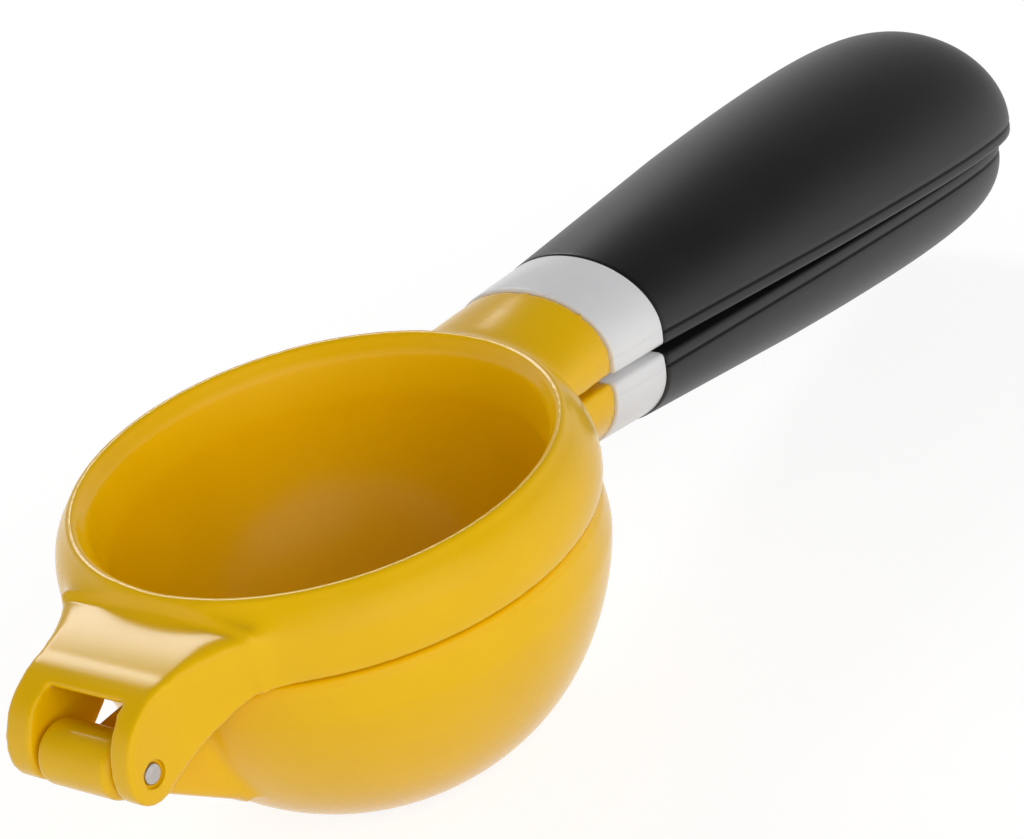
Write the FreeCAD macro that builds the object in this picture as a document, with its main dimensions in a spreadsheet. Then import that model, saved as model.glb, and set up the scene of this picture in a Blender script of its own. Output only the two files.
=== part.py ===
"""Hinged lemon squeezer: two cast arms on one hinge pin, a press cup over a strainer bowl.

Millimetres. The origin is the middle of the bowl's flat foot, +Z runs up the bowl's axis,
+X runs from the hinge to the handles. The handles droop a little below the bowl's rim plane.
"""
import FreeCAD, Part
import math
import os
import re
import Sketcher
from FreeCAD import Placement, Rotation, Vector

# Driving sizes in millimetres and degrees, each written once
SIZES = {
    # strainer bowl
    "bowl_radius": 41.7,
    "foot_radius": 10.715,
    "bowl_wall": 3.2,
    "bowl_lip_step": 0.5,
    "bowl_lip_height": 1.4,
    "drain_hole_radius": 2.0,
    "inner_ring_radius": 6.0,
    "inner_ring_holes": 6,
    "outer_ring_radius": 14.5,
    "outer_ring_holes": 12,
    # press cup, its rim and its skirt
    "cup_wall": 2.4,
    "cup_rise": 4.5,
    "cup_draft": 0.4,
    "rim_setback": 2.7,
    "rim_height": 13.7,
    "rim_bead": 0.9,
    "lip_band_width": 1.3,
    "lip_band_depth": 1.6,
    "lip_shoulder": 1.5,
    "skirt_overhang": 0.2,
    "skirt_bulge": 11.7,
    "skirt_wall": 2.8,
    "skirt_gap": 0.4,
    "channel_height": 5.5,
    "channel_draft": 0.4,
    "seat_gap": 0.6,
    # hinge
    "hinge_offset": 15.9,
    "hinge_drop": 2.5,
    "pin_radius": 1.7,
    "pin_running_gap": 0.05,
    "pin_press_gap": 0.02,
    "pin_recess": 0.2,
    "pin_crown": 0.4,
    "pin_mouth_chamfer": 0.35,
    "knuckle_radius": 5.0,
    "knuckle_half_width": 7.4,
    "knuckle_chamfer": 1.1,
    "ear_gap": 0.4,
    "ear_thickness": 4.2,
    "ear_radius": 5.0,
    "ear_shift": 0.4,
    "heel_angle": 33.0,
    "heel_inset": 2.0,
    "tongue_curve": 12.0,
    "tongue_plate": 2.9,
    "tongue_rise": 1.6,
    "flare_start": 7.2,
    "flare_radius": 11.5,
    "web_half_width": 4.6,
    "web_top": 0.9,
    "web_height": 4.6,
    # handle line
    "handle_droop": 7.5,
    "handle_offset": 1.4,
    "handle_gap": 1.6,
    "parting_height": 3.4,
    "neck_length": 10.3,
    "neck_visible": 15.2,
    "upper_neck_half_width": 15.7,
    "upper_neck_height": 10.0,
    "upper_root_half_width": 17.2,
    "upper_root_height": 7.6,
    "lower_neck_half_width": 15.4,
    "lower_neck_height": 11.2,
    "lower_root_half_width": 16.0,
    "lower_root_height": 9.2,
    # collars
    "collar_length": 13.1,
    "collar_step": 0.45,
    "collar_flare": 0.5,
    # grips
    "grip_length": 106.5,
    "upper_grip_extra": 1.6,
    "upper_mid_half_width": 21.6,
    "upper_mid_height": 16.6,
    "upper_end_half_width": 23.8,
    "upper_end_height": 17.6,
    "lower_mid_half_width": 19.3,
    "lower_mid_height": 16.0,
    "lower_end_half_width": 20.4,
    "lower_end_height": 16.0,
    "grip_step": 0.7,
    "grip_wall": 2.8,
    "grip_floor": 1.6,
    "grip_end_rounding": 9.0,
    # tangs and the pins through them
    "tang_length": 88.0,
    "tang_overlap": 8.0,
    "tang_half_width": 6.0,
    "tang_height": 5.0,
    "tang_offset": 7.4,
    "tang_clearance": 0.15,
    "tang_pin_radius": 1.5,
    "tang_pin_station": 53.6,
    "tang_pin_half_length": 10.5,
    "tang_pin_gap": 0.02,
}

# Sizes that follow from the driving ones
FOLLOWING = {
    "bowl_depth": "sqrt(bowl_radius ^ 2 - foot_radius ^ 2)",
    "skirt_radius": "bowl_radius + skirt_overhang",
    "rim_radius": "skirt_radius - rim_setback",
    "cup_radius": "rim_radius - 2 * rim_bead - lip_band_width - lip_shoulder",
    "hinge_reach": "skirt_radius + hinge_offset",
    "handle_start": "skirt_radius + handle_offset",
    "collar_end": "neck_length + collar_length",
    "tang_pin_reach": "collar_end + tang_pin_station",
}

doc = FreeCAD.newDocument("lemon_squeezer")
sheet = doc.addObject("Spreadsheet::Sheet", "sizes")
formulas = {alias: "=" + text for alias, text in FOLLOWING.items()}
for row, (alias, size) in enumerate({**SIZES, **formulas}.items(), start=1):
    sheet.set(f"A{row}", alias)
    sheet.set(f"B{row}", str(size))
    sheet.setAlias(f"B{row}", alias)
doc.recompute()

# Places that several pieces share
UPPER_SEAT = "(bowl_depth + seat_gap / 2)"
LOWER_SEAT = "(bowl_depth - seat_gap / 2)"
PIN_X = "(-hinge_reach)"
PIN_Z = "(bowl_depth - hinge_drop)"
EAR_INSIDE = "(knuckle_half_width + ear_gap)"
EAR_OUTSIDE = "(knuckle_half_width + ear_gap + ear_thickness)"
UPPER = 1
LOWER = -1
# Degrees round the quarter turn that closes a grip's end, where its sections lie
END_TURNS = (35, 65, 84)
# A tilted sketch turns about the Y axis, which each plane's own axes name differently
TILT_AXIS = {"YZ_Plane": Vector(1, 0, 0), "XY_Plane": Vector(0, 1, 0)}
STATION_AXES = {"YZ_Plane": "zy", "XY_Plane": "xz"}


def sized(text):
    """The expression with each size's name pointed at the spreadsheet."""
    def point(word):
        name = word.group()
        return "sizes." + name if name in SIZES or name in FOLLOWING else name
    return re.sub(r"[a-z_]+", point, text)


def value(text):
    """The number that an expression of sizes gives now."""
    return float(sheet.evalExpression(sized(text)))


def new_body(name):
    body = doc.addObject("PartDesign::Body", name)
    body.Label = name
    return body


def origin_part(body, role):
    """An origin plane or axis of the body, such as XZ_Plane or Z_Axis."""
    return next(feature for feature in body.Origin.OriginFeatures if feature.Role == role)


def new_sketch(body, name, plane, station=None):
    """A sketch on an origin plane, or at a station tilted about Y by the handles' droop."""
    sketch = body.newObject("Sketcher::SketchObject", name)
    sketch.AttachmentSupport = (origin_part(body, plane), [""])
    sketch.MapMode = "FlatFace"
    if station:
        sketch.AttachmentOffset = Placement(Vector(), Rotation(TILT_AXIS[plane], value("handle_droop")))
        for axis, distance in zip(STATION_AXES[plane], station):
            sketch.setExpression(f".AttachmentOffset.Base.{axis}", sized(distance))
        tilt = "handle_droop" if len(station) == 2 else "0"
        sketch.setExpression(".AttachmentOffset.Rotation.Angle", sized(tilt))
    return sketch


def bind(sketch, constraint, text):
    """Add a constraint whose size follows the expression."""
    index = sketch.addConstraint(constraint)
    sketch.setExpression(f"Constraints[{index}]", sized(text))


def place_point(sketch, geometry, point, x, y):
    bind(sketch, Sketcher.Constraint("DistanceX", -1, 1, geometry, point, value(x)), x)
    bind(sketch, Sketcher.Constraint("DistanceY", -1, 1, geometry, point, value(y)), y)


def outline(body, name, plane, corners, station=None):
    """A closed outline through corners (x, y) or (x, y, radius, turn).

    A corner with a radius starts an arc to the next one; turn is 1 where that arc runs
    anticlockwise and -1 where it runs clockwise.
    """
    sketch = new_sketch(body, name, plane, station)
    spots = [Vector(value(corner[0]), value(corner[1]), 0) for corner in corners]
    for index, corner in enumerate(corners):
        start, end = spots[index], spots[(index + 1) % len(spots)]
        if len(corner) == 2:
            sketch.addGeometry(Part.LineSegment(start, end), False)
        else:
            chord = end - start
            radius, turn = value(corner[2]), corner[3]
            bulge = radius - max(radius ** 2 - chord.Length ** 2 / 4, 0) ** 0.5
            side = Vector(chord.y, -chord.x, 0).normalize() * turn
            middle = (start + end) * 0.5 + side * bulge
            sketch.addGeometry(Part.Arc(start, middle, end), False)
    # An arc is kept anticlockwise, so a clockwise one starts at its far end
    first = [1 if len(corner) == 2 or corner[3] > 0 else 2 for corner in corners]
    for index, corner in enumerate(corners):
        after = (index + 1) % len(corners)
        sketch.addConstraint(Sketcher.Constraint("Coincident", index, 3 - first[index], after, first[after]))
        place_point(sketch, index, first[index], corner[0], corner[1])
        if len(corner) > 2:
            bind(sketch, Sketcher.Constraint("Radius", index, value(corner[2])), corner[2])
    return sketch


def circle(body, name, plane, x, y, radius):
    sketch = new_sketch(body, name, plane)
    sketch.addGeometry(Part.Circle(Vector(value(x), value(y), 0), Vector(0, 0, 1), value(radius)), False)
    place_point(sketch, 0, 3, x, y)
    bind(sketch, Sketcher.Constraint("Radius", 0, value(radius)), radius)
    return sketch


def oval(body, name, height, half_width, half_height, station):
    """A full ellipse, wider than high, square to the handle line at a station."""
    sketch = new_sketch(body, name, "YZ_Plane", station)
    centre = Vector(0, value(height), 0)
    sketch.addGeometry(Part.Ellipse(centre, value(half_width), value(half_height)), False)
    sketch.exposeInternalGeometry(0)
    sketch.addConstraint(Sketcher.Constraint("Horizontal", 1))
    place_point(sketch, 0, 3, "0", height)
    for axis, reach in ((1, half_width), (2, half_height)):
        bind(sketch, Sketcher.Constraint("Distance", axis, 2 * value(reach)), f"2 * ({reach})")
    return sketch


def drooped(distance):
    """The station square to the handle line, at a distance along it."""
    return (f"handle_start + ({distance}) * cos(handle_droop)",
            f"bowl_depth - ({distance}) * sin(handle_droop)")


def straight(distance):
    """The same station in the frame of a handle piece, whose X axis is the handle line."""
    return (distance, "0", "level")


def feature(body, kind, name, sketch):
    result = body.newObject("PartDesign::" + kind, name)
    result.Profile = sketch
    return result


def turned(body, kind, name, sketch):
    """A Revolution or a Groove, a full turn about the bowl's axis."""
    result = feature(body, kind, name, sketch)
    result.ReferenceAxis = (origin_part(body, "Z_Axis"), [""])
    result.Angle = 360
    return result


def pad(body, name, sketch, length, both_ways=False):
    result = feature(body, "Pad", name, sketch)
    result.setExpression("Length", sized(length))
    result.SideType = "Symmetric" if both_ways else "One side"
    return result


def pocket(body, name, sketch, length=None, both_ways=False, upward=False):
    """A cut of a length, or through everything; it has to take material away."""
    doc.recompute()
    before = body.Shape.Volume
    result = feature(body, "Pocket", name, sketch)
    if length:
        result.setExpression("Length", sized(length))
    else:
        result.Type = "ThroughAll"
    result.SideType = "Symmetric" if both_ways else "One side"
    result.Reversed = upward
    doc.recompute()
    if not body.Shape.Volume < before:
        raise ValueError(name + " cuts nothing")
    return result


def loft(body, name, sections):
    result = feature(body, "AdditiveLoft", name, sections[0])
    result.Sections = sections[1:]
    return result


def edge_names(body, test):
    """Names of the body's edges that pass the test."""
    doc.recompute()
    return [f"Edge{index}" for index, edge in enumerate(body.Shape.Edges, start=1) if test(edge)]


def dress(body, kind, name, edges, size):
    """A Fillet or a Chamfer of a size on the named edges."""
    base = body.Tip
    result = body.newObject("PartDesign::" + kind, name)
    result.Base = (base, edges)
    result.setExpression("Radius" if kind == "Fillet" else "Size", sized(size))
    return result


def lay_on_handle_line(piece):
    """Move a piece from the handle's own frame to the drooping handle line."""
    piece.Placement = Placement(Vector(), Rotation(Vector(0, 1, 0), value("handle_droop")))
    piece.setExpression(".Placement.Base.x", sized("handle_start"))
    piece.setExpression(".Placement.Base.z", sized("bowl_depth"))
    piece.setExpression(".Placement.Rotation.Angle", sized("handle_droop"))


def half_name(side):
    return "upper" if side == UPPER else "lower"


def add_neck(body, side):
    """The full oval neck from inside the skirt or the bowl to the collar."""
    half = half_name(side)
    lift = f"{side} * parting_height"
    root = oval(body, "neck_root", lift, f"{half}_root_half_width", f"{half}_root_height",
                drooped("neck_length - neck_visible"))
    end = oval(body, "neck_end", lift, f"{half}_neck_half_width", f"{half}_neck_height",
               drooped("neck_length"))
    loft(body, "neck", [root, end])


def flatten_neck(body, side, cut_radius):
    """Cut the neck flat along the handle gap, outside a radius that clears the skirt or the bowl."""
    axis = "(-handle_start / cos(handle_droop))"
    reach = f"({half_name(side)}_root_half_width + skirt_gap)"
    near = f"({axis} + sqrt(({cut_radius}) ^ 2 - {reach} ^ 2))"
    lift = f"{side} * handle_gap / 2"
    station = (f"handle_start + {lift} * sin(handle_droop)", f"bowl_depth + {lift} * cos(handle_droop)")
    beyond = outline(body, "beyond_gap", "XY_Plane", [
        (near, "-" + reach),
        ("2 * neck_length", "-" + reach),
        ("2 * neck_length", reach),
        (near, reach, cut_radius, -1),
    ], station)
    pocket(body, "neck_flat", beyond, upward=side == LOWER)


def tang_section(body, side, margin, station):
    """The flat tang's section, or with a margin the slot that takes it."""
    across = f"(tang_half_width + {margin})"
    low = f"{side} * tang_offset - tang_height / 2 - {margin}"
    high = f"{side} * tang_offset + tang_height / 2 + {margin}"
    corners = [("-" + across, low), (across, low), (across, high), ("-" + across, high)]
    return outline(body, "tang_section", "YZ_Plane", corners, station)


def add_tang(body, side):
    """The flat tang inside the handle, with the cross hole for its pin."""
    section = tang_section(body, side, "0", drooped("neck_length - tang_overlap"))
    pad(body, "tang", section, "tang_length + tang_overlap")
    rise = f"{side} * tang_offset"
    hole = circle(body, "tang_hole_circle", "XZ_Plane",
                  f"handle_start + tang_pin_reach * cos(handle_droop) + {rise} * sin(handle_droop)",
                  f"bowl_depth - tang_pin_reach * sin(handle_droop) + {rise} * cos(handle_droop)",
                  "tang_pin_radius + tang_pin_gap")
    pocket(body, "tang_hole", hole, "4 * tang_half_width", both_ways=True)


def make_press_arm():
    """Upper casting: hinge tongue with its two ears, rim, cup, skirt, neck and tang."""
    body = new_body("press_arm")
    ear_x = f"({PIN_X} + ear_shift)"
    front = f"({ear_x} - ear_radius)"
    arch_top = f"({PIN_Z} + tongue_curve)"
    beyond = f"({front} - ear_radius)"
    root = "(-skirt_radius + skirt_wall)"
    flare_from = f"({ear_x} + flare_start)"
    profile = outline(body, "tongue_profile", "XZ_Plane", [
        ("-rim_radius", UPPER_SEAT),
        ("-rim_radius", f"{arch_top} + tongue_rise"),
        (f"{front} + tongue_curve", arch_top, "tongue_curve", 1),
        (front, PIN_Z, "ear_radius", 1),
        (f"{ear_x} + ear_radius * sin(heel_angle)", f"{PIN_Z} - ear_radius * cos(heel_angle)"),
        ("-skirt_radius + heel_inset", UPPER_SEAT),
    ])
    pad(body, "tongue", profile, "skirt_radius", both_ways=True)
    flare_centre = f"({EAR_OUTSIDE} + flare_radius)"
    flare_end = f"({flare_centre} - sqrt(flare_radius ^ 2 - ({root} - {flare_from}) ^ 2))"
    for side in (1, -1):
        flank = outline(body, "flank", "XY_Plane", [
            (beyond, f"{side} * {EAR_OUTSIDE}"),
            (flare_from, f"{side} * {EAR_OUTSIDE}", "flare_radius", side),
            (root, f"{side} * {flare_end}"),
            ("-rim_radius + rim_bead", f"{side} * {flare_end}"),
            ("-rim_radius + rim_bead", f"{side} * skirt_radius"),
            (beyond, f"{side} * skirt_radius"),
        ])
        pocket(body, "flank_cut", flank, upward=True)
    window = outline(body, "window_profile", "XZ_Plane", [
        (beyond, f"{PIN_Z} - 2 * ear_radius"),
        (root, f"{PIN_Z} - 2 * ear_radius"),
        (root, f"{arch_top} - tongue_plate"),
        (beyond, f"{arch_top} - tongue_plate"),
    ])
    pocket(body, "window", window, f"2 * {EAR_INSIDE}", both_ways=True)
    hollow_radius = "(flare_radius + ear_thickness)"
    hollow_end = f"({flare_centre} - sqrt({hollow_radius} ^ 2 - ({root} - {flare_from}) ^ 2))"
    hollow = outline(body, "hollow_profile", "XY_Plane", [
        (flare_from, "-" + EAR_INSIDE, hollow_radius, -1),
        (root, "-" + hollow_end),
        (root, hollow_end, hollow_radius, -1),
        (flare_from, EAR_INSIDE),
    ])
    pocket(body, "tongue_hollow", hollow, f"{arch_top} - tongue_plate", upward=True)
    add_neck(body, UPPER)
    cup_outside = "(cup_radius + cup_wall + cup_draft)"
    seat = outline(body, "seat_profile", "YZ_Plane", [
        (cup_outside, f"{PIN_Z} - 2 * ear_radius"),
        ("skirt_radius + skirt_gap", f"{PIN_Z} - 2 * ear_radius"),
        ("skirt_radius + skirt_gap", UPPER_SEAT),
        (cup_outside, UPPER_SEAT),
    ])
    turned(body, "Groove", "seat_trim", seat)
    bead_base = "(bowl_depth + rim_height - rim_bead)"
    cup_level = "(bowl_depth + cup_rise)"
    shell = outline(body, "cup_profile", "YZ_Plane", [
        ("skirt_radius", UPPER_SEAT, "skirt_bulge", 1),
        ("rim_radius", bead_base, "rim_bead", 1),
        ("rim_radius - 2 * rim_bead", bead_base),
        ("rim_radius - 2 * rim_bead - lip_band_width", f"{bead_base} - lip_band_depth"),
        ("cup_radius", cup_level, "cup_radius", -1),
        ("0", f"{cup_level} - cup_radius"),
        ("0", f"{cup_level} - cup_radius - cup_wall", "cup_radius + cup_wall", 1),
        ("cup_radius + cup_wall", cup_level),
        (cup_outside, "bowl_depth + channel_height"),
        ("skirt_radius - skirt_wall - channel_draft", "bowl_depth + channel_height"),
        ("skirt_radius - skirt_wall", UPPER_SEAT),
    ])
    turned(body, "Revolution", "cup_and_skirt", shell)
    flatten_neck(body, UPPER, "skirt_radius + skirt_gap")
    add_tang(body, UPPER)
    bore = circle(body, "ear_bore_circle", "XZ_Plane", PIN_X, PIN_Z, "pin_radius + pin_press_gap")
    pocket(body, "ear_bore", bore, f"2 * {EAR_OUTSIDE} + ear_gap", both_ways=True)
    outside = value(EAR_OUTSIDE)
    girth = math.tau * value("pin_radius + pin_press_gap")
    mouths = edge_names(body, lambda edge: edge.Closed and abs(edge.Length - girth) < 0.001
                        and abs(abs(edge.CenterOfMass.y) - outside) < 0.001)
    dress(body, "Chamfer", "pin_mouths", mouths, "pin_mouth_chamfer")
    return body


def make_bowl_arm():
    """Lower casting: strainer bowl with its drain holes, knuckle and web, neck and tang."""
    body = new_body("bowl_arm")
    barrel = circle(body, "knuckle_circle", "XZ_Plane", PIN_X, PIN_Z, "knuckle_radius")
    pad(body, "knuckle", barrel, "2 * knuckle_half_width", both_ways=True)
    ends = edge_names(body, lambda edge: edge.Curve.TypeId == "Part::GeomCircle")
    dress(body, "Chamfer", "knuckle_bevels", ends, "knuckle_chamfer")
    web = outline(body, "web_profile", "XZ_Plane", [
        (PIN_X, f"{PIN_Z} + web_top - web_height"),
        ("-bowl_radius + bowl_wall / 2", f"{PIN_Z} + web_top - web_height"),
        ("-bowl_radius + bowl_wall / 2", f"{PIN_Z} + web_top"),
        (PIN_X, f"{PIN_Z} + web_top"),
    ])
    pad(body, "web", web, "2 * web_half_width", both_ways=True)
    add_neck(body, LOWER)
    trim_radius = "(bowl_radius + skirt_gap + lower_neck_height * sin(handle_droop))"
    over_rim = outline(body, "rim_trim_profile", "YZ_Plane", [
        ("0", LOWER_SEAT),
        (trim_radius, LOWER_SEAT),
        (trim_radius, "bowl_depth + lower_neck_height"),
        ("0", "bowl_depth + lower_neck_height"),
    ])
    turned(body, "Groove", "rim_trim", over_rim)
    lip_base = f"({LOWER_SEAT} - bowl_lip_height)"
    shell = outline(body, "bowl_profile", "YZ_Plane", [
        ("0", "0"),
        ("sqrt(bowl_radius ^ 2 - bowl_depth ^ 2)", "0", "bowl_radius", 1),
        (f"sqrt(bowl_radius ^ 2 - (bowl_depth - {lip_base}) ^ 2)", lip_base),
        ("bowl_radius - bowl_lip_step", lip_base),
        ("bowl_radius - bowl_lip_step", LOWER_SEAT),
        ("0", LOWER_SEAT),
    ])
    turned(body, "Revolution", "bowl", shell)
    flatten_neck(body, LOWER, "bowl_radius + skirt_gap / 2")
    inside_radius = "(bowl_radius - bowl_wall)"
    inside = outline(body, "bowl_inside_profile", "YZ_Plane", [
        ("0", f"bowl_depth - {inside_radius}", inside_radius, 1),
        (inside_radius, "bowl_depth"),
        (inside_radius, "bowl_depth + bowl_lip_height"),
        ("0", "bowl_depth + bowl_lip_height"),
    ])
    turned(body, "Groove", "bowl_inside", inside)
    for ring in ("inner", "outer"):
        hole = circle(body, f"{ring}_drain_circle", "XY_Plane", f"{ring}_ring_radius", "0", "drain_hole_radius")
        drain = pocket(body, f"{ring}_drain", hole, "bowl_depth / 2", upward=True)
        pattern = body.newObject("PartDesign::PolarPattern", f"{ring}_drain_ring")
        pattern.Originals = [drain]
        pattern.Axis = (origin_part(body, "Z_Axis"), [""])
        pattern.Angle = 360
        pattern.setExpression("Occurrences", sized(f"{ring}_ring_holes"))
        body.Tip = pattern
    add_tang(body, LOWER)
    bore = circle(body, "knuckle_bore_circle", "XZ_Plane", PIN_X, PIN_Z, "pin_radius + pin_running_gap")
    pocket(body, "knuckle_bore", bore, "2 * knuckle_half_width + ear_gap", both_ways=True)
    return body


def make_hinge_pin():
    body = new_body("hinge_pin")
    section = circle(body, "pin_circle", "XZ_Plane", PIN_X, PIN_Z, "pin_radius")
    pad(body, "pin", section, f"2 * ({EAR_OUTSIDE} - pin_recess)", both_ways=True)
    ends = edge_names(body, lambda edge: edge.Curve.TypeId == "Part::GeomCircle")
    dress(body, "Fillet", "pin_crowns", ends, "pin_crown")
    return body


def cut_flat(body, side, level, start, end):
    """Flatten a handle piece along the handle gap, at a level above or below its line."""
    edge = f"{side} * ({level})"
    far = f"{side} * (-3) * grip_end_rounding"
    region = outline(body, "gap_profile", "XZ_Plane", [(start, far), (start, edge), (end, edge), (end, far)])
    pocket(body, "gap_flat", region, f"4 * {half_name(side)}_end_half_width", both_ways=True)


def make_collar(side):
    """White ring between the neck and the grip, slotted for the tang."""
    half = half_name(side)
    body = new_body(half + "_collar")
    lift = f"{side} * parting_height"
    front = oval(body, "front_section", lift, f"{half}_neck_half_width + collar_step",
                 f"{half}_neck_height + collar_step", straight("neck_length"))
    back = oval(body, "back_section", lift, f"{half}_neck_half_width + collar_step + collar_flare",
                f"{half}_neck_height + collar_step + collar_flare", straight("collar_end"))
    loft(body, "ring", [front, back])
    cut_flat(body, side, "handle_gap / 2", "neck_length - 1", "collar_end + 1")
    slot = tang_section(body, side, "tang_clearance", straight("neck_length"))
    pocket(body, "tang_slot", slot, "collar_length", upward=True)
    lay_on_handle_line(body)
    return body


def handle_loft(body, side, inset, start, end):
    """The swelling body of a grip, or its core where it is inset by the grip's wall."""
    half = half_name(side)
    lift = f"{side} * parting_height"
    growth = f"collar_step + collar_flare + grip_step - {inset}"
    rounding = f"(grip_end_rounding - {inset})"
    shoulder = f"({end} - {rounding})"

    def end_oval(name, shrink, station):
        return oval(body, name, lift, f"{half}_end_half_width - {inset} - {shrink}",
                    f"{half}_end_height - {inset} - {shrink}", straight(station))

    front = oval(body, "front_section", lift, f"{half}_neck_half_width + {growth}",
                 f"{half}_neck_height + {growth}", straight(start))
    middle = oval(body, "middle_section", lift, f"{half}_mid_half_width - {inset}",
                  f"{half}_mid_height - {inset}", straight(f"({start} + {shoulder}) / 2"))
    last = end_oval("end_section", "0", shoulder)
    loft(body, "swell", [front, middle, last])
    cap = [last]
    for turn in END_TURNS:
        station = f"{shoulder} + {rounding} * sin({turn})"
        cap.append(end_oval("cap_section", f"{rounding} * (1 - cos({turn}))", station))
    loft(body, "cap", cap)


def make_handle(side):
    """One handle's plastic core, its rubber grip and the pin that holds them to the tang."""
    half = half_name(side)
    grip_end = "collar_end + grip_length" + (" + upper_grip_extra" if side == UPPER else "")

    blank = new_body(half + "_core_blank")
    handle_loft(blank, side, "grip_wall", "collar_end", f"{grip_end} - grip_wall")
    cut_flat(blank, side, "handle_gap / 2 + grip_floor", "collar_end - 1", grip_end)
    lay_on_handle_line(blank)

    slot = new_body(half + "_tang_slot")
    section = tang_section(slot, side, "tang_clearance", straight("collar_end - 1"))
    pad(slot, "slot", section, "tang_length - collar_length + tang_clearance + 1")
    hole = circle(slot, "pin_hole_circle", "XZ_Plane", "tang_pin_reach", f"{side} * tang_offset",
                  "tang_pin_radius + tang_pin_gap")
    pad(slot, "pin_hole", hole, "2 * tang_pin_half_length + 2 * tang_pin_gap", both_ways=True)
    lay_on_handle_line(slot)

    skin = new_body(half + "_grip_skin")
    handle_loft(skin, side, "0", "collar_end", grip_end)
    cut_flat(skin, side, "handle_gap / 2", "collar_end - 1", grip_end + " + 1")
    lay_on_handle_line(skin)

    core = doc.addObject("Part::Cut", half + "_core")
    core.Base, core.Tool = blank, slot
    grip = doc.addObject("Part::Cut", half + "_grip")
    grip.Base, grip.Tool = skin, blank

    pin = new_body(half + "_tang_pin")
    section = circle(pin, "pin_circle", "XZ_Plane", "tang_pin_reach", f"{side} * tang_offset", "tang_pin_radius")
    pad(pin, "pin", section, "2 * tang_pin_half_length", both_ways=True)
    lay_on_handle_line(pin)
    return [core, grip, pin]


def check(pieces):
    """Stop on a failed feature or a piece without a valid solid."""
    for item in doc.Objects:
        if "Invalid" in item.State or "Error" in item.State:
            raise ValueError(f"{item.Name} failed: {item.State}")
    for piece in pieces:
        if piece.Shape.isNull() or not piece.Shape.isValid() or len(piece.Shape.Solids) != 1:
            raise ValueError(piece.Label + " isn't one valid solid")


pieces = [make_bowl_arm(), make_press_arm(), make_hinge_pin()]
for half in (UPPER, LOWER):
    pieces.append(make_collar(half))
    pieces.extend(make_handle(half))
doc.recompute()
check(pieces)

os.makedirs("parts", exist_ok=True)
for piece in pieces:
    piece.Shape.exportStep(f"parts/{piece.Label}.step")
    print(f"{piece.Label}: {piece.Shape.Volume:.0f} mm3, {len(piece.Shape.Faces)} faces")
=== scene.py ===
import math

import bmesh
import bpy
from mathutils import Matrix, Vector


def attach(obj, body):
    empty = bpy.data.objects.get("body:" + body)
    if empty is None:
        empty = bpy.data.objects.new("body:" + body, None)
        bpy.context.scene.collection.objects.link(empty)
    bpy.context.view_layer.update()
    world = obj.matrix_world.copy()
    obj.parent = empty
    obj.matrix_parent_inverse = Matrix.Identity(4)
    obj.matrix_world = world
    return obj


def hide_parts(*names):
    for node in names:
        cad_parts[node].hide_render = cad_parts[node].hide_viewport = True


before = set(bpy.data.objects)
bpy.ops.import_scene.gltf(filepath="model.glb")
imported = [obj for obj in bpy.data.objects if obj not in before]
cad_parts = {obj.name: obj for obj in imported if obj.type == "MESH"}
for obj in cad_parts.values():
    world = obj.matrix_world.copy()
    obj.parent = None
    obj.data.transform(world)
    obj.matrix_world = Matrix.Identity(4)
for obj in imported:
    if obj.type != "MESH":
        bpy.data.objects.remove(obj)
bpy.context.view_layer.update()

# A hinged lemon squeezer lying closed on a white table, hinge towards the camera.
# Metres and the CAD's own axes: +Z up the bowl's axis, +X from the hinge to the handles.

MM = 0.001


def colour(hex_code):
    """An sRGB hex colour as the linear colour that Blender's sockets take."""
    channels = [int(hex_code[place:place + 2], 16) / 255 for place in (1, 3, 5)]
    linear = [c / 12.92 if c <= 0.04045 else ((c + 0.055) / 1.055) ** 2.4 for c in channels]
    return (*linear, 1.0)


def add_node(tree, kind, settings=None, links=None):
    """Add a shader node, set its properties and sockets, and link its inputs from other sockets."""
    node = tree.nodes.new(kind)
    for name, value in (settings or {}).items():
        if name in node.inputs:
            node.inputs[name].default_value = value
        else:
            setattr(node, name, value)
    for name, source in (links or {}).items():
        tree.links.new(source, node.inputs[name])
    return node


def new_material(name):
    """A node material without nodes, and the tree that they go in."""
    material = bpy.data.materials.new(name)
    material.use_nodes = True
    tree = material.node_tree
    tree.nodes.clear()
    return material, tree


def ramp(tree, factor, stops):
    """A colour ramp through (position, hex colour) stops."""
    node = add_node(tree, "ShaderNodeValToRGB", links={"Fac": factor})
    elements = node.color_ramp.elements
    while len(elements) < len(stops):
        elements.new(0.5)
    for element, (position, hex_code) in zip(elements, stops):
        element.position = position
        element.color = colour(hex_code)
    return node.outputs["Color"]


def object_noise(tree, size, detail=2.0):
    """Noise in the object's own space whose lumps are about a size in millimetres across."""
    place = add_node(tree, "ShaderNodeTexCoord")
    return add_node(tree, "ShaderNodeTexNoise", {"Scale": 1 / (size * MM), "Detail": detail},
                    {"Vector": place.outputs["Object"]}).outputs["Fac"]


def bump(tree, height, depth):
    """A bump whose full height is a depth in millimetres."""
    return add_node(tree, "ShaderNodeBump", {"Strength": 1.0, "Distance": depth * MM},
                    {"Height": height}).outputs["Normal"]


def finish_material(tree, settings, tone, normal):
    """The shader that every surface here uses, and the material's output."""
    shader = add_node(tree, "ShaderNodeBsdfPrincipled", settings, {"Base Color": tone, "Normal": normal})
    add_node(tree, "ShaderNodeOutputMaterial", links={"Surface": shader.outputs["BSDF"]})


def make_lemon_enamel():
    """Die-cast aluminium, electrostatically coated and baked: an even, wet-looking yellow skin
    with a faint orange peel that softens the edges of its reflections."""
    material, tree = new_material("baked_yellow_coat_on_cast_aluminium")
    tone = ramp(tree, object_noise(tree, 24.0), [(0.35, "#f0bc00"), (0.65, "#f5c102")])
    peel = bump(tree, object_noise(tree, 1.6, detail=1.0), 0.004)
    finish_material(tree, {"Roughness": 0.2, "IOR": 1.5, "Specular IOR Level": 0.3}, tone, peel)
    return material


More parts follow.
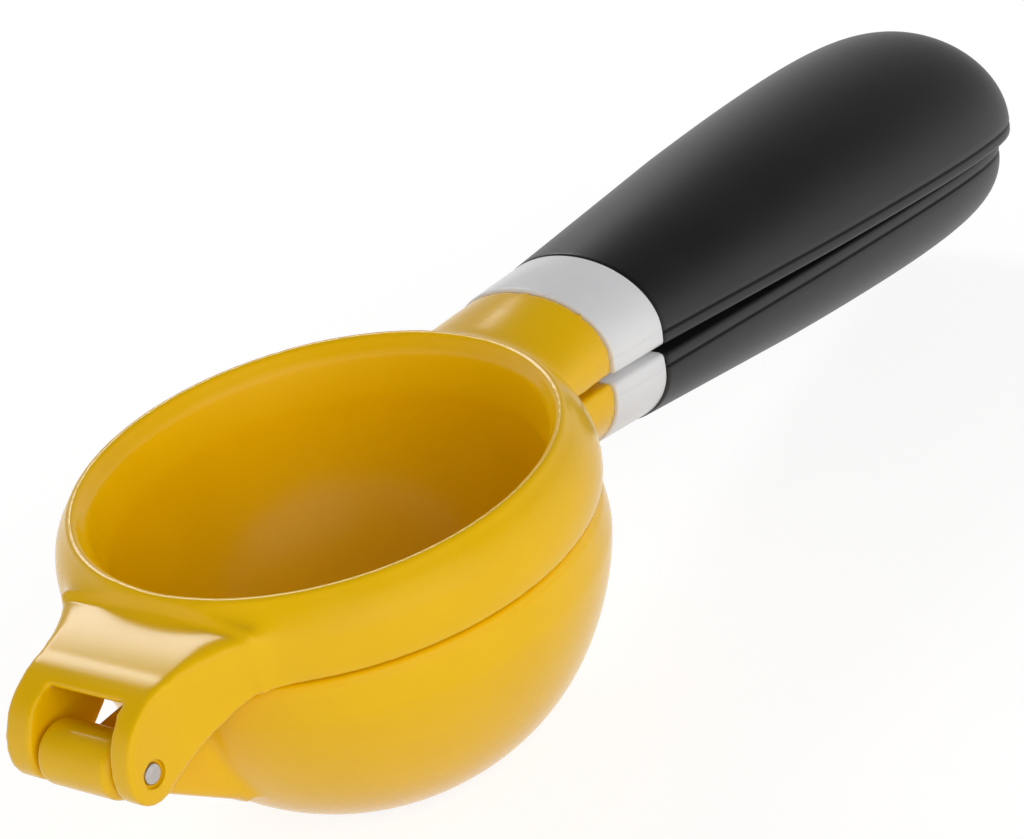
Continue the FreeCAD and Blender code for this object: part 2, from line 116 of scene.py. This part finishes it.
def make_white_abs():
    """Injection-moulded ABS from a polished mould: clean white with broad soft highlights."""
    material, tree = new_material("moulded_white_abs")
    tone = ramp(tree, object_noise(tree, 12.0), [(0.3, "#e4e4e6"), (0.7, "#e9e9ea")])
    flow = bump(tree, object_noise(tree, 3.0, detail=1.0), 0.003)
    finish_material(tree, {"Roughness": 0.26, "IOR": 1.53}, tone, flow)
    return material


def make_black_tpe():
    """Overmoulded soft TPE from a spark-eroded mould: near black, a dull grey sheen and a fine tooth."""
    material, tree = new_material("overmoulded_black_tpe")
    tone = ramp(tree, object_noise(tree, 9.0, detail=3.0), [(0.3, "#121213"), (0.7, "#171718")])
    tooth = bump(tree, object_noise(tree, 0.35), 0.012)
    finish_material(tree, {"Roughness": 0.42, "IOR": 1.49}, tone, tooth)
    return material


def make_pin_steel():
    """Drawn and turned stainless steel: bright grey with a faint unevenness from the tool."""
    material, tree = new_material("turned_stainless_steel")
    tone = ramp(tree, object_noise(tree, 1.2), [(0.3, "#b9b4b2"), (0.7, "#c8c3c0")])
    unevenness = bump(tree, object_noise(tree, 0.25, detail=1.0), 0.004)
    finish_material(tree, {"Metallic": 1.0, "Roughness": 0.3}, tone, unevenness)
    return material


def make_core_plastic():
    """Glass-filled polypropylene as moulded: dull dark grey, hidden under the grip."""
    material, tree = new_material("moulded_glass_filled_pp")
    tone = ramp(tree, object_noise(tree, 5.0), [(0.3, "#3a3a3b"), (0.7, "#444446")])
    grain = bump(tree, object_noise(tree, 0.5), 0.01)
    finish_material(tree, {"Roughness": 0.6, "IOR": 1.49}, tone, grain)
    return material


def put_on(mesh, material):
    """Make a material the mesh's only one."""
    mesh.materials.clear()
    mesh.materials.append(material)


enamel = make_lemon_enamel()
white_abs = make_white_abs()
black_tpe = make_black_tpe()
pin_steel = make_pin_steel()
core_plastic = make_core_plastic()

for node, material in {
    "bowl_arm": enamel, "press_arm": enamel, "hinge_pin": pin_steel,
    "upper_collar": white_abs, "lower_collar": white_abs,
    "upper_core": core_plastic, "lower_core": core_plastic,
    "upper_grip": black_tpe, "lower_grip": black_tpe,
    "upper_tang_pin": pin_steel, "lower_tang_pin": pin_steel,
}.items():
    put_on(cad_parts[node].data, material)

UPPER, LOWER = 1, -1
BODIES = {UPPER: "upper", LOWER: "lower"}

# Sizes in millimetres that repeat the CAD's
BOWL_DEPTH = 40.3
BOWL_RADIUS = 41.7
SKIRT_RADIUS = 41.9
RIM_RADIUS = 39.2
SEAT_GAP = 0.6
SEAT = BOWL_DEPTH + SEAT_GAP / 2
PIN_X, PIN_Z = -57.8, 37.8
EAR_SHIFT, EAR_RADIUS = 0.4, 5.0
EAR_INSIDE, EAR_OUTSIDE = 7.8, 12.0
TONGUE_CURVE = 12.0
TONGUE_RISE = 1.6
HEEL_ANGLE = math.radians(33)
HEEL_INSET = 2.0
KNUCKLE_RADIUS = 5.0
HANDLE_START = 43.3
HANDLE_DROOP = math.radians(7.5)
HANDLE_GAP = 1.6
PARTING_HEIGHT = 3.4
NECK_LENGTH = 10.3
COLLAR_END = 23.4

# Sizes in millimetres of the cast and moulded detail that only the scene has
CAST_GRAIN = 0.45          # the even faces that a casting is rebuilt from
FILLER_END = -31.0         # where the tongue's filler ends, inside the skirt
FLANK_SWEEP = 26.0         # the radius of the flanks' curve into the skirt
RIM_TOP = 50.4
TONGUE_FALL = 0.0085       # per millimetre, how fast the tongue's top curves down
RECESS_RADIUS = 2.15       # round the pin's ends
GRIP_LENGTH = 108.1        # from the collar to the tip of the blunt end

# Rounds of relaxing, over a whole casting and where its forms flow together
EDGE_ROUNDS = 5
FLOW_ROUNDS = 90


def soft_step(start, end, value):
    """0 at the start and 1 at the end, with a smooth ramp between them in either direction."""
    share = min(max((value - start) / (end - start), 0.0), 1.0)
    return share * share * (3 - 2 * share)


def arc(centre, radius, start, end, steps=14):
    """Points on an arc between two angles in degrees."""
    turns = [math.radians(start + (end - start) * step / steps) for step in range(steps + 1)]
    return [(centre[0] + radius * math.cos(turn), centre[1] + radius * math.sin(turn)) for turn in turns]


def add_object(name, data):
    """A new object, linked into the scene."""
    thing = bpy.data.objects.new(name, data)
    bpy.context.collection.objects.link(thing)
    return thing


def closed_mesh(name, points, faces):
    """The mesh of a closed solid, with every face turned outwards."""
    mesh = bpy.data.meshes.new(name)
    mesh.from_pydata(points, [], faces)
    shape = bmesh.new()
    shape.from_mesh(mesh)
    bmesh.ops.recalc_face_normals(shape, faces=shape.faces)
    shape.to_mesh(mesh)
    shape.free()
    return mesh


def prism(name, corners, place):
    """A closed solid between two copies of an outline; place turns a corner and a side into a point."""
    count = len(corners)
    points = [Vector(place(corner, side)) * MM for side in (-1, 1) for corner in corners]
    faces = [tuple(range(count)), tuple(range(2 * count - 1, count - 1, -1))]
    for index in range(count):
        after = (index + 1) % count
        faces.append((index, index + count, after + count, after))
    return add_object(name, closed_mesh(name, points, faces))


def across(half_width):
    """Place an outline in the XZ plane, carried to both sides of the middle."""
    return lambda corner, side: (corner[0], side * half_width, corner[1])


def upright(low, high):
    """Place an outline in plan, from a low level to a high one."""
    return lambda corner, side: (corner[0], corner[1], low if side < 0 else high)


def apply_modifiers(solid):
    """Replace the solid's mesh by what its modifiers make of it."""
    graph = bpy.context.evaluated_depsgraph_get()
    solid.data = bpy.data.meshes.new_from_object(solid.evaluated_get(graph))
    solid.modifiers.clear()


def carve(solid, tool, operation):
    """Cut a solid by a tool, or keep what both share, and clear the tool away."""
    cut = solid.modifiers.new("cut", "BOOLEAN")
    cut.operation = operation
    cut.object = tool
    cut.solver = "EXACT"
    apply_modifiers(solid)
    bpy.data.objects.remove(tool)


def remesh(solid):
    """Rebuild a solid's skin from even faces, which joins what overlaps in it."""
    even = solid.modifiers.new("even_faces", "REMESH")
    even.mode = "VOXEL"
    even.voxel_size = CAST_GRAIN * MM
    apply_modifiers(solid)


def relax(solid, rounds, group=""):
    """Smooth a solid's mesh, all of it or by a vertex group's weights."""
    smooth = solid.modifiers.new("relaxed", "SMOOTH")
    smooth.factor = 0.5
    smooth.iterations = rounds
    smooth.vertex_group = group
    apply_modifiers(solid)


def join(base, extras):
    """Add the extra solids' faces to the base; the next remesh makes one skin of them."""
    shape = bmesh.new()
    shape.from_mesh(base.data)
    for extra in extras:
        shape.from_mesh(extra.data)
        bpy.data.objects.remove(extra)
    shape.to_mesh(base.data)
    shape.free()


def cast(node, extras, cutters, melt, reshape):
    """A casting's form: the CAD solid with edges and inside corners rounded as a die-cast part's are.

    The solid is rebuilt from even faces and all of it is relaxed a little. Where melt(x, y, z) is
    above 0 it is relaxed more, so that forms flow together. reshape(x, y, z) then moves each point.
    """
    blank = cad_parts[node].copy()
    blank.data = blank.data.copy()
    bpy.context.collection.objects.link(blank)
    join(blank, extras)
    for cutter in cutters:
        remesh(blank)
        carve(blank, cutter, "DIFFERENCE")
    remesh(blank)
    relax(blank, EDGE_ROUNDS)
    flowing = blank.vertex_groups.new(name="flowing")
    for vertex in blank.data.vertices:
        weight = melt(*(vertex.co / MM))
        if weight > 0:
            flowing.add([vertex.index], weight, "REPLACE")
    relax(blank, FLOW_ROUNDS, "flowing")
    mesh = blank.data
    for vertex in mesh.vertices:
        vertex.co = Vector(reshape(*(vertex.co / MM))) * MM
    bpy.data.objects.remove(blank)
    return mesh


def new_piece(name, mesh, side, node, material):
    """A smooth piece that rides its arm and stands for a CAD node."""
    piece = add_object(name, mesh)
    put_on(mesh, material)
    for face in mesh.polygons:
        face.use_smooth = True
    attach(piece, BODIES[side])
    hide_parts(node)
    return piece


def tongue_outline():
    """The hinge tongue seen from the side: the slope that fades along the skirt, arch, ear and heel."""
    ear_x = PIN_X + EAR_SHIFT
    front = ear_x - EAR_RADIUS
    arch = arc((front + TONGUE_CURVE, PIN_Z), TONGUE_CURVE, 90, 180)
    ear = arc((ear_x, PIN_Z), EAR_RADIUS, 180, 270 + math.degrees(HEEL_ANGLE))
    top = PIN_Z + TONGUE_CURVE + TONGUE_RISE
    return [(FILLER_END, SEAT), (FILLER_END, SEAT + 5.0), (-RIM_RADIUS, top), *arch, *ear,
            (-SKIRT_RADIUS + HEEL_INSET, SEAT)]


def make_flank(side, thickening=0.0):
    """One side of the tongue, which spreads in a long curve from the ear into the skirt."""
    skirt = SKIRT_RADIUS + 0.2
    centre_y = EAR_OUTSIDE + thickening + FLANK_SWEEP
    centre_x = -math.sqrt((skirt + FLANK_SWEEP) ** 2 - centre_y ** 2)
    meeting = math.degrees(math.atan2(-centre_y, -centre_x))
    curve = arc((centre_x, centre_y), FLANK_SWEEP, -90, meeting)
    inner = EAR_OUTSIDE - 1.0
    front = PIN_X - 2 * EAR_RADIUS
    corners = [(front, inner), (front, curve[0][1]), *curve, (FILLER_END, curve[-1][1]),
               (FILLER_END, inner)]
    flank = prism("flank", [(x, side * y) for x, y in corners], upright(20.0, 60.0))
    carve(flank, prism("tongue_side", tongue_outline(), across(30.0)), "INTERSECT")
    return flank


def make_gusset():
    """The bowl's own shoulder, which runs out under the web to the knuckle."""
    low = PIN_Z - KNUCKLE_RADIUS
    corners = [(PIN_X, low), (-36.0, 15.5), (-30.0, 18.0), (-34.0, SEAT - 6.0), (PIN_X, PIN_Z)]
    return prism("gusset", corners, across(4.6))


def neck_root(x):
    """1 where a neck meets its cup or bowl."""
    return soft_step(38.0, 40.0, x) * soft_step(50.0, 46.0, x)


def press_melt(x, y, z):
    """How far the press arm's forms flow together: along the flanks and at the tongue's and neck's roots."""
    above_seat = soft_step(SEAT + 0.6, SEAT + 3.0, z)
    flanks = soft_step(-25.0, -30.0, x) * soft_step(12.0, 15.0, abs(y)) * soft_step(53.0, 50.5, z)
    root = soft_step(-37.0, -40.0, x) * soft_step(-47.0, -43.0, x) * soft_step(48.5, 50.0, z)
    return above_seat * max(flanks, neck_root(x), root)


def bowl_melt(x, y, z):
    """How far the bowl arm's forms flow together: at the shoulder under the web and the neck's root."""
    below_lip = soft_step(SEAT - 2.0, SEAT - 4.0, z)
    shoulder = soft_step(-32.0, -35.0, x) * soft_step(-56.0, -52.0, x)
    return below_lip * max(shoulder, neck_root(x))


def bowl_swell(x, y, z):
    """The bowl's outside is a little fuller than a sphere between its lip and its foot."""
    distance = math.dist((x, y, z), (0, 0, BOWL_DEPTH))
    outside = soft_step(BOWL_RADIUS - 1.6, BOWL_RADIUS - 0.6, distance) * soft_step(44.5, 42.5, distance)
    level = soft_step(BOWL_DEPTH - 1.0, BOWL_DEPTH - 8.0, z) * soft_step(0.0, 3.5, z)
    fullness = 0.8 + 0.5 * soft_step(25.0, 8.0, z)
    push = 1.0 + fullness * outside * level / BOWL_RADIUS
    return x * push, y * push, max(BOWL_DEPTH + (z - BOWL_DEPTH) * push, 0.0)


def tongue_fall(x, y, z):
    """The tongue's top lies level at the rim and falls away in a slow curve towards the arch."""
    arch_start = PIN_X + EAR_SHIFT - EAR_RADIUS + TONGUE_CURVE
    along = max(x, arch_start)
    slope = TONGUE_RISE / (-RIM_RADIUS - arch_start)
    straight = PIN_Z + TONGUE_CURVE + slope * (along - arch_start)
    curved = RIM_TOP - TONGUE_FALL * (along + RIM_RADIUS) ** 2
    return x, y, z - (straight - curved) * soft_step(45.0, 48.5, z) * soft_step(-38.5, -40.0, x)


def make_press_casting():
    """The upper arm: cup, skirt, tongue with its window, and a shallow recess round each pin end.

    The far recess lies inside the far flank, which is thicker, and doesn't open to the outside.
    """
    back, front = -55.4, -66.0
    opening = [(front, 30.0), (back, 30.0), (back, 52.0), (front, 52.0)]
    ceiling = [(back - 1.0, 40.0), (-44.0, 40.0), (-44.0, 47.6), (back - 1.0, 47.6)]
    cutters = [prism("window_opening", opening, across(EAR_INSIDE - 0.2)),
               prism("window_ceiling", ceiling, across(EAR_INSIDE - 0.2))]
    flanks = [make_flank(1, thickening=1.1), make_flank(-1)]
    mesh = cast("press_arm", flanks, cutters, press_melt, tongue_fall)
    casting = new_piece("press_casting", mesh, UPPER, "press_arm", enamel)
    for side in (-1, 1):
        recess = prism("pin_recess", arc((PIN_X, PIN_Z), RECESS_RADIUS, 0, 350, 35), across(0.9))
        recess.location.y = side * (EAR_OUTSIDE + 0.2) * MM
        carve(casting, recess, "DIFFERENCE")


def make_bowl_casting():
    """The lower arm: bowl, foot, knuckle and the shoulder that carries it."""
    mesh = cast("bowl_arm", [make_gusset()], [], bowl_melt, bowl_swell)
    new_piece("bowl_casting", mesh, LOWER, "bowl_arm", enamel)


def half_oval(side, half_width, height, edge, groove):
    """Half a handle's section: an oval side, a parting groove, a straight strip and a flat face."""
    flat = HANDLE_GAP / 2
    top = PARTING_HEIGHT
    steps = 48
    turns = [math.pi * step / steps for step in range(steps + 1)]
    crown = [(half_width * math.cos(turn), top + height * math.sin(turn)) for turn in turns]
    strip = [(half_width - groove * 0.2, top - groove * 0.35), (half_width - groove, top - groove * 0.6),
             (half_width - groove, top - groove), (half_width - groove * 0.2, top - groove * 1.3),
             (half_width, top - groove * 1.7), (half_width - 0.05, flat + edge),
             (half_width - edge * 0.3, flat + edge * 0.3), (half_width - edge, flat)]
    strip = [(max(y, 0.0), z) for y, z in strip]
    outline = crown + [(-y, z) for y, z in strip] + list(reversed(strip))
    return [(y, side * z) for y, z in outline]


def handle_point(x, y, z):
    """A point in the handle's own frame, whose X axis is the drooping handle line."""
    return Vector((HANDLE_START + x * math.cos(HANDLE_DROOP) + z * math.sin(HANDLE_DROOP), y,
                   BOWL_DEPTH - x * math.sin(HANDLE_DROOP) + z * math.cos(HANDLE_DROOP))) * MM


def handle_skin(name, side, stations, edge, groove):
    """A closed skin through half ovals at stations (distance, half width, height)."""
    points = []
    for distance, half_width, height in stations:
        ring = half_oval(side, half_width, height, edge, groove)
        points += [handle_point(distance, y, z) for y, z in ring]
    count = len(ring)
    faces = [tuple(range(count)), tuple(range(len(points) - count, len(points)))]
    for row in range(len(stations) - 1):
        low, high = row * count, (row + 1) * count
        for column in range(count):
            after = (column + 1) % count
            faces.append((low + column, low + after, high + after, high + column))
    return closed_mesh(name, points, faces)


def round_edge(radius, degrees):
    """Steps (inset, ahead) from an end face round its edge to the full size, so many degrees apart."""
    turns = [math.radians(turn) for turn in range(0, 91, degrees)]
    return [(radius * (1 - math.sin(turn)), radius * (1 - math.cos(turn))) for turn in turns]


def make_grip(side, widths, heights):
    """A rubber grip that swells from the collar, with a rounded front edge and a blunt round end.

    A half width or height (start, growth, bend) is start + growth * share + bend * share ** 2, where
    share runs from 0 at the collar to 1 at the tip, before the blunt end closes it.
    """
    edge = 0.6
    stations = [(COLLAR_END + ahead, widths[0] - inset, heights[0] - inset)
                for inset, ahead in round_edge(edge, 15)]
    steps = 70
    bluntness = 8.0
    for step in range(1, steps + 1):
        turn = math.radians(90 * step / steps)
        share = math.sin(turn) ** (2 / bluntness)
        closing = max(math.cos(turn), 1e-6) ** (2 / bluntness)
        swell = [size[0] + size[1] * share + size[2] * share ** 2 for size in (widths, heights)]
        stations.append((COLLAR_END + edge + (GRIP_LENGTH - edge) * share,
                         swell[0] * closing, swell[1] * closing))
    arm = BODIES[side]
    mesh = handle_skin(arm + "_rubber", side, stations, 0.7, 0.5)
    new_piece(arm + "_rubber", mesh, side, arm + "_grip", black_tpe)


def make_ring(side, widths, heights):
    """A white collar with softly broken edges, from its sizes at the neck and at the grip."""
    edge = round_edge(0.4, 18)
    stations = [(NECK_LENGTH + ahead, widths[0] - inset, heights[0] - inset) for inset, ahead in edge]
    stations += [(COLLAR_END - ahead, widths[1] - inset, heights[1] - inset)
                 for inset, ahead in reversed(edge)]
    arm = BODIES[side]
    mesh = handle_skin(arm + "_ring", side, stations, 0.8, 0.02)
    new_piece(arm + "_ring", mesh, side, arm + "_collar", white_abs)


make_press_casting()
make_bowl_casting()
make_ring(UPPER, (16.15, 16.6), (10.3, 11.1))
make_ring(LOWER, (15.85, 16.3), (11.4, 11.9))
make_grip(UPPER, (16.8, 12.7, -4.7), (11.3, 12.7, -5.7))
make_grip(LOWER, (16.8, 7.0, -2.4), (12.1, 9.2, -5.0))


def mix(tree, factor, first, second):
    """The first shader where the factor is 0 and the second where it is 1."""
    node = add_node(tree, "ShaderNodeMixShader", links={"Fac": factor})
    tree.links.new(first, node.inputs[1])
    tree.links.new(second, node.inputs[2])
    return node.outputs["Shader"]


def larger(tree, first, second):
    """The larger of two values."""
    node = add_node(tree, "ShaderNodeMath", {"operation": "MAXIMUM"})
    tree.links.new(first, node.inputs[0])
    tree.links.new(second, node.inputs[1])
    return node.outputs["Value"]


def sight(tree):
    """1 for what the camera sees, straight, mirrored or through glass, and 0 for plain lighting."""
    path = add_node(tree, "ShaderNodeLightPath")
    direct = larger(tree, path.outputs["Is Camera Ray"], path.outputs["Is Transmission Ray"])
    return larger(tree, direct, path.outputs["Is Glossy Ray"])


def add_stage():
    """A white table that is lit like the object but is seen as pure white, with a soft shadow."""
    reach = 3.0
    table_mesh = bpy.data.meshes.new("table")
    table_mesh.from_pydata([(-reach, -reach, 0), (reach, -reach, 0), (reach, reach, 0), (-reach, reach, 0)],
                           [], [(0, 1, 2, 3)])
    table = add_object("table", table_mesh)
    table.location.z = -0.2 * MM
    material, tree = new_material("matt_white_laminate")
    plain = add_node(tree, "ShaderNodeBsdfDiffuse", {"Color": colour("#f2f2f2")})
    shaded = add_node(tree, "ShaderNodeBsdfDiffuse", {"Color": colour("#8c8c8c")})
    glow = add_node(tree, "ShaderNodeEmission", {"Color": colour("#ffffff"), "Strength": 0.84})
    lifted = add_node(tree, "ShaderNodeAddShader")
    tree.links.new(shaded.outputs["BSDF"], lifted.inputs[0])
    tree.links.new(glow.outputs["Emission"], lifted.inputs[1])
    surface = mix(tree, sight(tree), plain.outputs["BSDF"], lifted.outputs["Shader"])
    add_node(tree, "ShaderNodeOutputMaterial", links={"Surface": surface})
    table_mesh.materials.append(material)


def add_softbox(name, place, target, width, height, power, mirrored=True):
    """A rectangular softbox aimed at a point, in metres and watts, which gloss mirrors or not."""
    light = bpy.data.lights.new(name, "AREA")
    light.shape = "RECTANGLE"
    light.size = width
    light.size_y = height
    light.energy = power
    lamp = add_object(name, light)
    lamp.location = place
    lamp.rotation_euler = (Vector(target) - Vector(place)).to_track_quat("-Z", "Y").to_euler()
    lamp.visible_glossy = mirrored


def add_world():
    """A white sweep all round under a darker ceiling, so that sides are lit more than tops.

    The camera sees plain white behind the object, and gloss mirrors the sweep less bright than it lights.
    """
    world = bpy.data.worlds.new("white_sweep")
    world.use_nodes = True
    tree = world.node_tree
    tree.nodes.clear()
    place = add_node(tree, "ShaderNodeTexCoord")
    parts = add_node(tree, "ShaderNodeSeparateXYZ", links={"Vector": place.outputs["Generated"]})
    tone = ramp(tree, parts.outputs["Z"], [(0.05, "#ffffff"), (0.65, "#5c5c5c")])
    lighting = add_node(tree, "ShaderNodeBackground", {"Strength": 1.45}, {"Color": tone})
    mirrored = add_node(tree, "ShaderNodeBackground", {"Strength": 0.85}, {"Color": tone})
    backdrop = add_node(tree, "ShaderNodeBackground", {"Color": colour("#ffffff"), "Strength": 1.0})
    path = add_node(tree, "ShaderNodeLightPath")
    around = mix(tree, path.outputs["Is Glossy Ray"],
                 lighting.outputs["Background"], mirrored.outputs["Background"])
    surface = mix(tree, path.outputs["Is Camera Ray"], around, backdrop.outputs["Background"])
    add_node(tree, "ShaderNodeOutputWorld", links={"Surface": surface})
    bpy.context.scene.world = world


def add_camera():
    """The photograph's view: from above the hinge, looking along the handles."""
    lens = bpy.data.cameras.new("camera")
    lens.sensor_width = 36.0
    lens.lens = 126.56
    lens.clip_start = 0.01
    camera = add_object("camera", lens)
    camera.location = (-0.33007, -0.35246, 0.30928)
    camera.rotation_euler = [math.radians(turn) for turn in (61.0851, 12.7773, -53.7151)]
    bpy.context.scene.camera = camera


add_stage()
add_world()
add_softbox("back_softbox", (0.52, 0.80, 0.70), (-0.04, 0.0, 0.05), 0.5, 0.26, 3.6)
add_softbox("front_sail", (-0.7, -1.5, 0.8), (0.0, 0.0, 0.03), 2.0, 1.4, 14.0, mirrored=False)
add_camera()
bpy.context.scene.view_settings.view_transform = "Standard"
